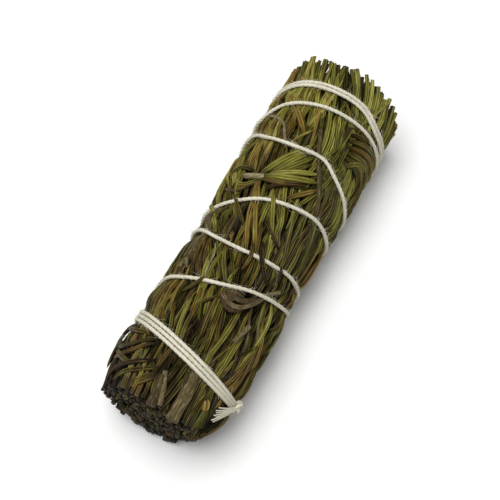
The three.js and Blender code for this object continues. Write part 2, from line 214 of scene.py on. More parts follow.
needle_finish, wire = new_finish("dried_rosemary_needle")
place_on = wire.make("ShaderNodeAttribute", {"attribute_name": "strand_place"}, output="Vector")
tone_on = wire.make("ShaderNodeAttribute", {"attribute_name": "strand_tone"}, output="Vector")
along, across, up = place_on.parts()
light, green, seed = tone_on.parts()
lines = wire.noise(wire.point(along * 0.12, across * 1.5, seed * 90), 2.2, 3)
stains = wire.noise(wire.point(along * 0.16, across * 0.3, seed * 40), 1.6, 2)
# The groove mask darkens the middle of each needle's upper side, which is painted shade in the groove. It
# also carves the groove in the bump.
groove_relief_and_shade = (1 - abs(across).ease(0.04, 0.34)) * up.ease(0, 0.3)
# The ridges beside the groove are made lighter, which is a painted highlight.
ridge_highlight = abs(across).ease(0.2, 0.5) * (1 - abs(across).ease(0.55, 0.85)) * up.ease(0.2, 0.6)
# The rolled margins are darkened, which is painted shade where the needles lie against each other.
margin_shade = abs(across).ease(0.55, 1)
under = 1 - up.ease(-0.6, -0.2)
# The first 5 mm of each needle, where it dives under the others, is darkened, which is painted shade.
root_shade = 1 - along.ease(0, 5)
level = light + (lines - 0.5) * 0.45 + (stains - 0.5) * 0.5 - root_shade * 0.15
level = level - groove_relief_and_shade * 0.16 + ridge_highlight * 0.12 - margin_shade * 0.3
fresh = (green + (stains - 0.5) * 1.2).ease(0.2, 0.8)
colour = wire.blend(fresh, level.ramp(BROWN_STOPS), level.ramp(GREEN_STOPS))
# Pale streaks on the ridges are a painted highlight.
colour = wire.blend(ridge_highlight * lines.ease(0.55, 0.75) * 0.25, colour, HIGHLIGHT_STRAW)
colour = wire.blend(under * 0.15, colour, FELT)
gloss = 0.4 + lines * 0.2 + under * 0.2
close_finish(wire, colour, gloss, lines - groove_relief_and_shade * 0.6, 0.00015, Specular_IOR_Level=0.13)

# Woody stems
# The stems carry the needles and run the length of the bundle. They are round wood under thin, cracked
# grey-brown bark, cut square with shears at the stem end, so that the wood shows inside the bark ring.
STEM_SIDES = 9
STEM_MARKS = (0, 0.03, 0.12, 0.22, 0.33, 0.44, 0.55, 0.66, 0.77, 0.88, 0.97, 1)
STEM_WIDTHS = (0.96, 1.02, 0.98, 1.05, 0.96, 1, 1.06, 0.95, 1, 0.97, 1, 0.95)
BARK_STOPS = (
    (0, (0.012, 0.008, 0.003)),
    (0.35, (0.062, 0.045, 0.018)),
    (0.6, (0.15, 0.115, 0.052)),
    (0.85, (0.28, 0.228, 0.12)),
    (1, (0.42, 0.365, 0.225)),
)
CUT_WOOD = (0.085, 0.052, 0.024, 1)

stem_angles = [2 * math.pi * i / STEM_SIDES for i in range(STEM_SIDES)]
stem_form = strand_form([(math.sin(a), math.cos(a)) for a in stem_angles], STEM_MARKS, STEM_WIDTHS)

bark_finish, wire = new_finish("rosemary_bark")
place_on = wire.make("ShaderNodeAttribute", {"attribute_name": "strand_place"}, output="Vector")
tone_on = wire.make("ShaderNodeAttribute", {"attribute_name": "strand_tone"}, output="Vector")
along, across, up = place_on.parts()
light, green, seed = tone_on.parts()
ridges = wire.noise(wire.point(along * 0.16, across * 2.4 + seed * 60, up * 2.4), 2, 4)
patches = wire.noise(wire.point(along * 0.2, across * 0.7, up * 0.7 + seed * 35), 1.2, 2)
cracks = 1 - abs(ridges - 0.5).ease(0, 0.06)
inside = 1 - (across * across + up * up).ease(0.55, 0.75)
level = light + (ridges - 0.5) * 0.9 + (patches - 0.5) * 0.5 - cracks * 0.14
colour = wire.blend(inside * 0.8, level.ramp(BARK_STOPS), CUT_WOOD)
close_finish(wire, colour, 0.62 + ridges * 0.3, ridges - cracks * 0.4, 0.00025, Specular_IOR_Level=0.12)


SMOOTH_UP_TO = math.radians(75)


class Sprig:
    """The strands of one piece of the bundle, gathered before they become its mesh."""

    def __init__(self):
        self.points = []
        self.faces = []
        self.places = []
        self.tones = []
        self.finishes = []
        self.count = 0

    def grow(self, form, x, angle, radius, width, height, roll, tone, finish):
        """Bends copies of a form along rows of x, angle and radius, one row a copy."""
        centre = place(x, angle, radius)
        out = np.stack([np.zeros_like(angle), -np.sin(angle), np.cos(angle)], axis=-1)
        ahead = np.gradient(centre, axis=1)
        ahead /= np.linalg.norm(ahead, axis=-1, keepdims=True)
        side = np.cross(out, ahead)
        side /= np.linalg.norm(side, axis=-1, keepdims=True)
        top = np.cross(ahead, side)
        turn = np.broadcast_to(roll, x.shape)[..., None]
        rolled_side = np.cos(turn) * side + np.sin(turn) * top
        rolled_top = np.cos(turn) * top - np.sin(turn) * side
        steps = np.linalg.norm(np.diff(centre, axis=1), axis=-1)
        run = np.concatenate([np.zeros((len(x), 1)), np.cumsum(steps, axis=1)], axis=1)
        mark = form["mark"]
        beyond = (form["at"][:, 0] - form["marks"][mark]) * run[:, -1:]
        across = form["at"][:, 1] * width[:, None] / 2
        up = form["at"][:, 2] * height[:, None] / 2
        points = centre[:, mark] + ahead[:, mark] * beyond[..., None]
        points = points + rolled_side[:, mark] * across[..., None] + rolled_top[:, mark] * up[..., None]
        points[..., 2] = np.maximum(points[..., 2], 0)
        copies, corners = points.shape[:2]
        section = np.broadcast_to(form["at"][:, 1:], (copies, corners, 2))
        self.points.append(points.reshape(-1, 3))
        self.places.append(np.concatenate([run[:, mark][..., None], section], axis=-1).reshape(-1, 3))
        self.tones.append(np.repeat(tone, corners, axis=0))
        for copy in range(copies):
            first = self.count + copy * corners
            self.faces.extend([corner + first for corner in face] for face in form["faces"])
        self.finishes.append(np.full(copies * len(form["faces"]), finish, np.int32))
        self.count += copies * corners

    def gather(self, name, finishes):
        """Turns the strands into one object."""
        mesh = bpy.data.meshes.new(name)
        mesh.from_pydata(np.concatenate(self.points) * MM, [], self.faces)
        for attribute, rows in (("strand_place", self.places), ("strand_tone", self.tones)):
            layer = mesh.attributes.new(attribute, "FLOAT_VECTOR", "POINT")
            layer.data.foreach_set("vector", np.concatenate(rows).astype(np.float32).ravel())
        for finish in finishes:
            mesh.materials.append(finish)
        mesh.polygons.foreach_set("material_index", np.concatenate(self.finishes))
        piece = bpy.data.objects.new(name, mesh)
        bpy.context.scene.collection.objects.link(piece)
        bpy.ops.object.select_all(action="DESELECT")
        piece.select_set(True)
        bpy.context.view_layer.objects.active = piece
        bpy.ops.object.shade_smooth_by_angle(angle=SMOOTH_UP_TO)
        return piece

    def make(self, name, node, slot, finishes):
        """Turns the strands into one object that stands for a node."""
        piece = self.gather(name, finishes)
        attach(piece, "root")
        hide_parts(node)


NEEDLE, BARK = 0, 1
ROSEMARY_FINISHES = (needle_finish, bark_finish)

# Inner sprigs
# Four sprigs fill the middle of the bundle. Each is a handful of woody stems with needles between them,
# and only their trimmed ends show, cut a little unevenly with the rest of the bundle.
STEM_TRIM = 52
TIP_TRIM = 52.4
INNER_RADIUS = 8.6
INNER_STEMS = 4
INNER_STEM_SIZE = (2.2, 3)
INNER_NEEDLES = 52
SPREAD = {"stems": 34, "needles": 43}
END_NEEDLE_REACH = (9, 14)
END_NEEDLE_WIDTH = (1.1, 1.6)
END_NEEDLE_HEIGHT = (0.7, 1)
END_JAG = 1.1
RIM = (9.5, 12.5)
KNOT_CUT = {"angle": 76, "reach": 13, "back": 4.5}
LOBE = {"angle": 114, "reach": 20, "back": 2}
NOTCH = {"angle": 142, "reach": 8, "back": 7}
STEMS_LONGER = {"angle": 10, "reach": 55, "by": 1.5}
TIPS_LONGER = ({"angle": -42, "reach": 32, "by": 0.9}, {"angle": 40, "reach": 40, "by": 0.6})
SEED = 11

draws = np.random.default_rng(SEED)
inner_nodes = [f"inner_sprig_{i:02d}" for i in range(1, 5)]
inner_boxes = np.array([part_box(node) for node in inner_nodes]) / MM
axis_middle = (inner_boxes[:, 0].min(axis=0) + inner_boxes[:, 1].max(axis=0)) / 2
AXIS_HEIGHT = axis_middle[2]


def place(x, angle, radius):
    """A point of the bundle from x, the angle from its top towards -Y, and the distance from its axis."""
    spots = [x, axis_middle[1] - radius * np.sin(angle), AXIS_HEIGHT + radius * np.cos(angle)]
    return np.stack(np.broadcast_arrays(*spots), axis=-1)


def wrapped(degrees):
    """The same direction, between -180 and 180 degrees."""
    return (degrees + 180) % 360 - 180


def near(angle, middle, reach):
    """1 at the middle, in degrees, and falling to 0 a little past the reach."""
    return np.exp(-((wrapped(np.degrees(angle) - middle) / reach) ** 2))


def eased(value, low, high):
    """A smooth step from 0 at low to 1 at high."""
    share = np.clip((value - low) / (high - low), 0, 1)
    return share * share * (3 - 2 * share)


def stem_line(angle, radius):
    """Where the shears cut the stem end: cut back beside the knot, with a lobe and a notch below it."""
    back = 0
    for cut in (KNOT_CUT, LOBE, NOTCH):
        back = np.maximum(back, cut["back"] * near(angle, cut["angle"], cut["reach"]))
    longer = STEMS_LONGER["by"] * near(angle, STEMS_LONGER["angle"], STEMS_LONGER["reach"])
    return -STEM_TRIM - 0.3 - longer + back * eased(radius, *RIM)


def tip_line(angle, radius):
    """Where the shears trimmed the tips, a little longer on two sides."""
    line = TIP_TRIM + 1.6 * eased(radius, 5, RIM[1])
    for side in TIPS_LONGER:
        line = line + side["by"] * near(angle, side["angle"], side["reach"])
    return line


# The last number of each end is how light its cut needles are. The darker stem end is painted shade on that
# end face.
ENDS = ((-1, stem_line, 0.2), (1, tip_line, 0.42))


def rows_between(start, end, marks):
    """Rows of values that run straight from start to end."""
    return start[:, None] + (end - start)[:, None] * marks


def tones(light, green):
    """Lightness, greenness and a number of its own for each strand."""
    return np.stack([light, green, draws.random(len(light))], axis=1)


def end_needles(sprig, heading, spread, radii, count, end, line, shade):
    """Fills a share of a trimmed end with needles cut off unevenly there."""
    angle = heading + np.radians(draws.uniform(-spread, spread, count))
    radius = np.sqrt(draws.uniform(radii[0] ** 2, radii[1] ** 2, count))
    outer = line(angle, radius) - end * np.abs(draws.normal(0, END_JAG, count))
    inner = outer - end * draws.uniform(*END_NEEDLE_REACH, count)
    marks = tip_cut_needle["marks"]
    x = rows_between(inner, outer, marks)
    wander = angle[:, None] + np.radians(draws.normal(0, 5, (count, 1))) * marks
    width = draws.uniform(*END_NEEDLE_WIDTH, count)
    height = draws.uniform(*END_NEEDLE_HEIGHT, count)
    roll = draws.uniform(-3, 3, (count, 1))
    # shade sets how light these needles are, and its low value at the stem end is painted shade.
    level = tones(draws.normal(shade, 0.1, count), draws.uniform(0, 0.8, count))
    sprig.grow(tip_cut_needle, x, wander, radius[:, None] + 0 * x, width, height, roll, level, NEEDLE)


for node, (low, high) in zip(inner_nodes, inner_boxes):
    middle = (low + high) / 2 - axis_middle
    heading = math.atan2(-middle[1], middle[2])
    sprig = Sprig()
    angle = heading + np.radians(draws.uniform(-SPREAD["stems"], SPREAD["stems"], INNER_STEMS))
    radius = np.linspace(3, INNER_RADIUS - 1.6, INNER_STEMS)
    stem_end = -STEM_TRIM + draws.uniform(0, 2.6, INNER_STEMS)
    tip_end = TIP_TRIM - draws.uniform(6, 14, INNER_STEMS)
    x = rows_between(stem_end, tip_end, stem_form["marks"])
    thick = draws.uniform(*INNER_STEM_SIZE, INNER_STEMS)
    level = tones(draws.uniform(0.15, 0.4, INNER_STEMS), np.zeros(INNER_STEMS))
    sprig.grow(
        stem_form, x[:, ::-1], angle[:, None] + 0 * x, radius[:, None] + 0 * x, thick, thick, 0, level, BARK
    )
    radii = 0.8, INNER_RADIUS - 0.5
    for end, line, shade in ENDS:
        end_needles(sprig, heading, SPREAD["needles"], radii, INNER_NEEDLES, end, line, shade)
    sprig.make(f"rosemary_{node[:-3]}_core{node[-3:]}", node, "rosemary", ROSEMARY_FINISHES)

# Outer sprigs
# Twelve sprigs lie side by side round the inner ones. Their needles lie flat along the bundle in combed
# tufts, layer over layer, and the string presses them down wherever it crosses them.
GIRTH = ((-51, 14.9), (-44, 16.3), (-28, 16.8), (0, 16.1), (26, 17.2), (42, 16.9), (51, 15.6))
STRING_DIAMETER = 1.1
STRING_PITCH = 1.2
STRING_SINK = 0.35
STRING_LIFT = 0.4
BITE_WIDTH = 2.6


def smooth_through(pairs):
    """A curve through pairs of place and value, as a bent batten lies."""
    spots, values = np.array(pairs, float).T
    before = np.maximum(np.arange(len(spots)) - 1, 0)
    after = np.minimum(np.arange(len(spots)) + 1, len(spots) - 1)
    slopes = (values[after] - values[before]) / (spots[after] - spots[before])

    def at(spot):
        first = np.clip(np.searchsorted(spots, spot, side="right") - 1, 0, len(spots) - 2)
        span = spots[first + 1] - spots[first]
        share = np.clip((spot - spots[first]) / span, 0, 1)
        rise = (values[first + 1] - values[first]) * share * share * (3 - 2 * share)
        bend = share * (1 - share) * span * ((1 - share) * slopes[first] - share * slopes[first + 1])
        return values[first] + rise + bend

    return at


girth = smooth_through(GIRTH)


def flat_radius(angle, height):
    """How far out a flat at this height under the axis lies, along a ray at this angle."""
    down = np.maximum(-np.cos(angle), 0.2)
    return np.where(down > 0.2, height / down, 1000)


# The string's path is total degrees, counted on through its turns, and x
KNOT_ANGLE = 88
BASE_BAND = {"start": 97, "turns": 3, "x": -35.4, "tilt": 5.5, "low_at": 62, "gather": 0.38}
CLIMB = (
    ((1260, -29.5), (1322, -24.5), (1382, -20.6), (1410, -20), (1443, -18.3), (1472, -15.5), (1510, -12.7))
    + ((1540, -10.6), (1620, -7.5), (1700, -5), (1741, -4.6), (1776, -6.9), (1800, -7.5), (1836, -6.4))
    + ((1857, -5.4), (1900, -4.8), (1980, -3), (2060, 0.3), (2103, 2.3), (2129, 4.6), (2154, 7.5))
    + ((2181, 9.5), (2210, 11), (2242, 10.5), (2270, 10.7), (2340, 14.5), (2420, 22.5), (2459, 26.2))
    + ((2489, 25.1), (2516, 24.8), (2544, 25.4), (2562, 23.4), (2582, 21.7), (2608, 19.8), (2660, 19.8))
    + ((2740, 25), (2790, 31), (2819, 33.5), (2843, 36.7), (2868, 38.4), (2900, 39.6), (2930, 40))
    + ((2960, 39.4), (3060, 38.6), (3140, 40))
)
TIP_BAND = ((3179, 42.6), (3204, 44), (3239, 44.7), (3272, 44.6), (3300, 42.4), (3420, 40), (3500, 41.4))
STRING_END = (3780, 41.3)

base_band = []
for turned in range(0, BASE_BAND["turns"] * 360 + 1, 30):
    total = BASE_BAND["start"] + turned
    tilt = BASE_BAND["tilt"] * math.cos(math.radians(total - BASE_BAND["low_at"]))
    drawn_to = 1 - BASE_BAND["gather"] * near(math.radians(total), KNOT_ANGLE, 40)
    turn_x = STRING_PITCH * (turned / 360 - BASE_BAND["turns"] / 2) * drawn_to
    base_band.append((total, BASE_BAND["x"] - tilt + turn_x))
second_turn = [(total + 360, x + STRING_PITCH) for total, x in TIP_BAND[:5]]
string_route = [*base_band, *CLIMB, *TIP_BAND, *second_turn, STRING_END]
route_x = smooth_through(string_route)
ROUTE_START = string_route[0][0]
ROUTE_END = string_route[-1][0]


def string_radius(x, angle):
    """How far from the axis the middle of the string lies."""
    return np.minimum(
        girth(x) - STRING_SINK, flat_radius(angle, AXIS_HEIGHT - STRING_DIAMETER / 2 - STRING_LIFT)
    )


def hold(x, angle):
    """How strongly the string presses here: 1 under the string and 0 midway between turns."""
    most = np.zeros(np.shape(x))
    for lap in range(ROUTE_END // 360 + 1):
        total = np.degrees(angle) % 360 + 360 * lap
        away = (x - route_x(total)) / BITE_WIDTH
        on_route = (total >= ROUTE_START) & (total <= ROUTE_END)
        most = np.maximum(most, np.where(on_route, np.exp(-away * away), 0))
    return most


# Hollows where the crossing sprig, the folded sprig and the curled twig lie: x, angle, reaches and depth
HOLLOWS = ((18, -2, 9, 40, 1.3), (34, 66, 8, 40, 1.3), (-18, 34, 7, 32, 1.6))


def hollow(x, angle):
    """How deep the laid needles are pressed where other pieces lie on them."""
    deepest = np.zeros(np.shape(x))
    for middle_x, middle, reach_x, reach, depth in HOLLOWS:
        u = (x - middle_x) / reach_x
        v = wrapped(np.degrees(angle) - middle) / reach
        deepest = np.maximum(deepest, depth * np.exp(-((u * u + v * v) ** 2)))
    return deepest


REST_HEIGHT = AXIS_HEIGHT - 0.1
TIP_FLARE = 1
WAIST = {"angle": 110, "reach": 34, "depth": 2.8}


def body_radius(x, angle):
    """The outside of the bundle: flat underneath, drawn in by the knot and flared at the trimmed tips."""
    side = near(angle, WAIST["angle"], WAIST["reach"])
    drawn_in = WAIST["depth"] * side * (1 - eased(x, -52, -41))
    flared = TIP_FLARE * eased(x, 44, 54)
    return np.minimum(girth(x) - drawn_in + flared, flat_radius(angle, REST_HEIGHT))


def bed_radius(x, angle, depth, thick=0):
    """The distance from the axis of a strand laid this deep, dipping under the string."""
    free = body_radius(x, angle) - depth
    room = np.maximum(0.22 + 0.5 * depth, thick / 2 - 0.1)
    pressed = string_radius(x, angle) - STRING_DIAMETER / 2 - room
    return free + (np.minimum(free, pressed) - free) * hold(x, angle)


def over_radius(x, angle, depth, thick):
    """The distance from the axis of a strand that lies over the string."""
    free = body_radius(x, angle) - depth
    over = string_radius(x, angle) + STRING_DIAMETER / 2 + 0.35 * thick
    return free + (np.maximum(free, over) - free) * hold(x, angle) ** 2


OUTER_SPRIGS = 12
SECTOR = 360 / OUTER_SPRIGS
MEAN_RADIUS = 15.5
NEEDLE_GAP = 1.3
# Each layer's shade darkens its needles more the deeper it lies, which is painted shade between the layers.
LAYERS = (
    {"depth": (0.25, 1), "rows": 9, "needles": 5, "shade": 0},
    {"depth": (1.1, 1.8), "rows": 9, "needles": 6, "shade": 0.17},
    {"depth": (2, 2.7), "rows": 9, "needles": 6, "shade": 0.32},
    {"depth": (2.9, 3.6), "rows": 8, "needles": 5, "shade": 0.42},
)
NEEDLE_LENGTH = (14, 23)
NEEDLE_WIDTH = (1.05, 1.55)
NEEDLE_HEIGHT = (0.8, 1.1)
ROOT_DIVE = 1.1
OUTER_STEMS = 2
OUTER_STEM_RADIUS = 10.5
OUTER_STEM_SIZE = (2.3, 3)
STRAYS = 7
RING = {"radii": (8.8, 12.6), "needles": (16, 30)}


def past(x, middle, width):
    """A gentle step from 0 before the middle to 1 past it."""
    return 1 / (1 + np.exp(-(x - middle) / width))


def lean_here(x, degrees):
    """How far the needles lie over from the bundle's length: whole swathes of them lean together."""
    front = np.exp(-(((x - 4) / 13) ** 2)) * near(np.radians(degrees), 6, 48)
    tips = past(x, 32, 4)
    return -5 - 17 * front - 10 * tips + 5 * np.sin(x / 12 + math.radians(degrees) * 2)


def light_here(x, degrees):
    """How light the needles are: darker near the cut stems, and painted shade on two sides."""
    stems = past(-x, 40, 2.5)
    # The two sides of the bundle are darkened here, which is painted shade.
    left_shade = near(np.radians(degrees), -66, 28) * (0.6 + 0.4 * past(-x, -2, 8))
    right = near(np.radians(degrees), 74, 30)
    tips = past(x, 24, 6)
    return 0.48 - 0.17 * stems - 0.12 * left_shade - 0.1 * right + 0.19 * tips


def green_here(x, degrees):
    """How green the needles still are: browner near the cut stems, and greener on one side."""
    stems = past(-x, 38, 3)
    right = near(np.radians(degrees), 80, 35)
    tips = past(x, 22, 6)
    return 0.56 - 0.22 * stems + 0.16 * right + 0.12 * tips


def laid_rows(start_x, start_angle, lean, bow, length, marks):
    """Rows of x and angle for needles laid on the bundle, each with its own lean and bow in radians."""
    heading = lean[:, None] + bow[:, None] * (marks - 0.5)
    span = np.diff(marks)
    middle = (heading[:, 1:] + heading[:, :-1]) / 2
    ahead = np.cumsum(np.cos(middle) * span, axis=1) * length[:, None]
    aside = np.cumsum(np.sin(middle) * span, axis=1) * length[:, None] / MEAN_RADIUS
    none = np.zeros((len(length), 1))
    x = start_x[:, None] + np.concatenate([none, ahead], axis=1)
    return x, start_angle[:, None] + np.concatenate([none, aside], axis=1)


def tuft(x, degrees, depth, count, shade=0):
    """Draws one combed tuft: needles side by side that lean together and share a colour."""
    lean = lean_here(x + 8, degrees) + draws.normal(0, 9)
    gold = draws.random() < 0.1
    # shade darkens the whole tuft, which is painted shade for the deeper layers.
    light = light_here(x + 8, degrees) + draws.normal(0, 0.1) + 0.1 * gold - shade
    green = green_here(x + 8, degrees) + draws.normal(0, 0.2) - 0.5 * gold
    aside = (np.arange(count) - (count - 1) / 2) * NEEDLE_GAP + draws.normal(0, 0.2, count)
    return {
        "x": x + draws.normal(0, 2.4, count),
        "angle": np.radians(degrees) + aside / MEAN_RADIUS,
        "lean": np.radians(lean + draws.normal(0, 4.5, count)),
        "bow": np.radians(draws.normal(0, 14, count)),
        "length": draws.uniform(*NEEDLE_LENGTH, count),
        "depth": draws.uniform(*depth, count),
        "lift": draws.normal(0.05, 0.14, count),
        "width": draws.uniform(*NEEDLE_WIDTH, count),
        "height": draws.uniform(*NEEDLE_HEIGHT, count),
        "roll": np.radians(draws.normal(0, 24, count)),
        "light": light + draws.normal(0, 0.09, count),
        "green": green + draws.normal(0, 0.16, count),
        "ragged": abs(draws.normal(0.3, 0.6)) + np.abs(draws.normal(0, 0.5, count)),
    }


def loose_needle(x, degrees):
    """Draws one stray needle that lies on top and across the others."""
    stray = tuft(x, degrees, (0.05, 0.3), 1)
    stray["lean"] = np.radians(draws.normal(-6, 17, 1))
    stray["length"] = draws.uniform(8, 16, 1)
    stray["width"] = draws.uniform(0.8, 1.3, 1)
    return stray


def lay_needles(sprig, drawn, root_dive):
    """Lays the drawn needles on the bundle, trimmed where they pass its two ends."""
    field = {name: np.concatenate([each[name] for each in drawn]) for name in drawn[0]}
    stem_end = stem_line(field["angle"], MEAN_RADIUS) + field["ragged"]
    tip_end = tip_line(field["angle"], MEAN_RADIUS) - field["ragged"]
    kept = (field["x"] + field["length"] * 0.8 > stem_end + 4) & (field["x"] < tip_end - 4)
    root_cut = field["x"] < stem_end
    reach = field["x"] + field["length"] * np.cos(field["lean"])
    tip_cut = reach > tip_end
    start = np.maximum(field["x"], stem_end)
    end = np.minimum(reach, tip_end)
    length = (end - start) / np.cos(field["lean"])
    level = tones(field["light"], field["green"])
    kinds = (
        (whole_needle, kept & ~root_cut & ~tip_cut),
        (root_cut_needle, kept & root_cut),
        (tip_cut_needle, kept & tip_cut & ~root_cut),
    )
    for form, chosen in kinds:
        if not chosen.any():
            continue
        part = {name: values[chosen] for name, values in field.items()}
        marks = form["marks"]
        x, angle = laid_rows(start[chosen], part["angle"], part["lean"], part["bow"], length[chosen], marks)
        dive = root_dive * np.maximum(1 - marks / 0.2, 0) ** 2
        if form is root_cut_needle:
            dive = 0 * marks
        depth = part["depth"][:, None] + dive - part["lift"][:, None] * marks**2
        radius = bed_radius(x, angle, depth + hollow(x, angle))
        roll = part["roll"][:, None] * (0.4 + 1.1 * marks)
        sprig.grow(form, x, angle, radius, part["width"], part["height"], roll, level[chosen], NEEDLE)


def route_rows(stops, marks):
    """One row of x and one of angle through stops of degrees and x."""
    angles = np.radians([stop[0] for stop in stops])
    xs = np.array([stop[1] for stop in stops], float)
    steps = np.hypot(np.diff(xs), np.diff(angles) * MEAN_RADIUS)
    shares = np.concatenate([[0], np.cumsum(steps)]) / steps.sum()
    x = smooth_through(list(zip(shares, xs)))(marks)
    angle = smooth_through(list(zip(shares, angles)))(marks)
    return x[None], angle[None]


def lay_one(sprig, stops, width, height, light, green, form=whole_needle, depth=0.35, over=False, roll=0):
    """Lays one needle or stem through given stops of degrees and x."""
    x, angle = route_rows(stops, form["marks"])
    radius = (over_radius if over else bed_radius)(x, angle, depth, height)
    level = tones(np.array([light]), np.array([green]))
    finish = NEEDLE if form is whole_needle else BARK
    size = np.array([width]), np.array([height])
    sprig.grow(form, x, angle, radius, *size, roll, level, finish)


# Single needles laid on given sprigs: number of the sprig, stops of degrees and x, width, height, light,
# green, and whether it lies over the string
HAND_LAID = (
    (12, ((-28, -5.7), (-46, -0.4), (-60, 3.2), (-70, 5.2)), 1.5, 0.8, 0.66, 0.95, True),
    (1, ((-7, -1.5), (-18, 1.8), (-33, 6.3)), 1.2, 0.7, 0.42, 0.4, True),
    (1, ((19, 0.1), (12, 3.9), (0, 10.6)), 1.4, 0.8, 0.66, 0.8, True),
    (1, ((6, -6.8), (-5, -0.5), (-13, 5.6), (-20, 12)), 1.5, 0.8, 0.72, 0.2, False),
    (1, ((14, -6.2), (1, 0.3), (-8, 5.3), (-17, 11.6)), 1.5, 0.8, 0.7, 0.45, False),
    (1, ((32, -2.2), (19, 0.2), (6, 2.8)), 1.2, 0.7, 0.28, 0.1, False),
    (1, ((9, -4.6), (13, -9.1), (12, -12.2)), 1.1, 0.7, 0.5, 0.3, True),
    (2, ((15, -2.8), (21, -6.6), (30, -9.4), (39, -12)), 1.4, 0.8, 0.16, 0.3, True),
    (3, ((41, -5.6), (46, -7.5), (46, -11.2)), 1.1, 0.7, 0.18, 0.4, True),
    (12, ((-25, -24), (-18, -21.6), (-12, -18.4)), 1.1, 0.7, 0.44, 0.6, True),
    (12, ((-46, 41.5), (-22, 35.5), (-2, 29)), 1.7, 0.8, 0.62, 0.1, False),
    (3, ((57, -12.9), (63, -22), (57, -33.5)), 1.5, 0.8, 0.68, 0.75, False),
    (3, ((45, -44.6), (48, -45.8), (51, -47.2)), 2.3, 2, 0.85, 0, False),
)
# Bare stems that show: number of the sprig, stops, thickness, light and depth
STEMS_SHOWN = (
    (2, ((8, 32.2), (21, 24.6), (35, 17.5), (47, 12.3)), 1.3, 0.5, 0.2),
    (2, ((25, -39), (27, -46), (29, -53.6)), 3.4, 0.56, 0.7),
    (1, ((2, -45.5), (3, -49.5), (4, -53.2)), 2.8, 0.42, 0.7),
    (1, ((1, -44.6), (7, -48.4), (12, -52.4)), 1.3, 0.72, 0),
    (12, ((-50, 1.8), (-46, -6.4), (-43, -11), (-41, -14.6)), 2.5, 0.52, 0),
    (12, ((-44, -11.6), (-41, -14.6), (-36, -17.4)), 1, 0.72, -0.3),
    (12, ((-42, -11.6), (-43, -14.8), (-46, -17.2)), 0.9, 0.66, -0.2),
    (12, ((-43, -11.6), (-42, -14), (-41, -16.4)), 1.1, 0.42, 0.2),
    (3, ((44, -23.4), (41, -26.4), (38.5, -29.4)), 1.4, 0.66, 0.2),
    (12, ((-24, -8.4), (-17, -11.4), (-16, -14.5), (-14, -18.2)), 0.4, 1.1, -0.1),
    (12, ((-50, 33), (-35, 31.6), (-24, 29.8), (-20, 27.6), (-16, 25.4)), 0.9, 0.85, 0.05),
)
# Needles bowed over the side by the base turns, with how deep each lies, and the green lobe by the knot
FAN_SPRIG = 12
FAN = (
    (((-24, -37.9), (-38, -40.4), (-54, -41.8), (-70, -41.6)), -0.3),
    (((-27, -36.8), (-50, -37.2), (-74, -35.4)), -0.9),
    (((-22, -39.2), (-38, -42.4), (-56, -44.2), (-70, -44.4)), 0),
    (((-5, -45.9), (-16, -48), (-26, -50)), 0.35),
    (((-4, -46.6), (-15, -49), (-24, -51)), 0.35),
    (((-6, -44.4), (-22, -46.6), (-40, -48.4), (-52, -50.4)), 0.2),
    (((-4, -46.8), (-13, -44.2), (-22, -42.3)), 0.35),
    (((-12, -43.4), (-30, -45.4), (-52, -47.6), (-66, -50)), -0.2),
    (((-3, -45.5), (-2, -48.5), (0, -51)), 0.35),
    (((-74, -41.6), (-48, -44.8), (-31, -46.4)), 0),
    (((-56, -33.6), (-68, -33.6), (-78, -35), (-79, -38)), -0.4),
    (((-58, -34.8), (-72, -35), (-80, -37.4), (-76, -40)), -0.6),
    (((-62, -39), (-74, -39), (-84, -41), (-84, -45)), -0.6),
    (((-60, -40.6), (-72, -41), (-80, -43.6), (-76, -47)), -0.5),
)
BUNCH_SPRIG = 4
BUNCH = (
    ((96, -38.5), (104, -43), (114, -49)),
    ((101, -38), (110, -43), (122, -49.8)),
    ((92, -39), (97, -43.6), (106, -48.6)),
    ((106, -38), (116, -43.5), (128, -49.8)),
    ((88, -39.5), (91, -44), (98, -48)),
)

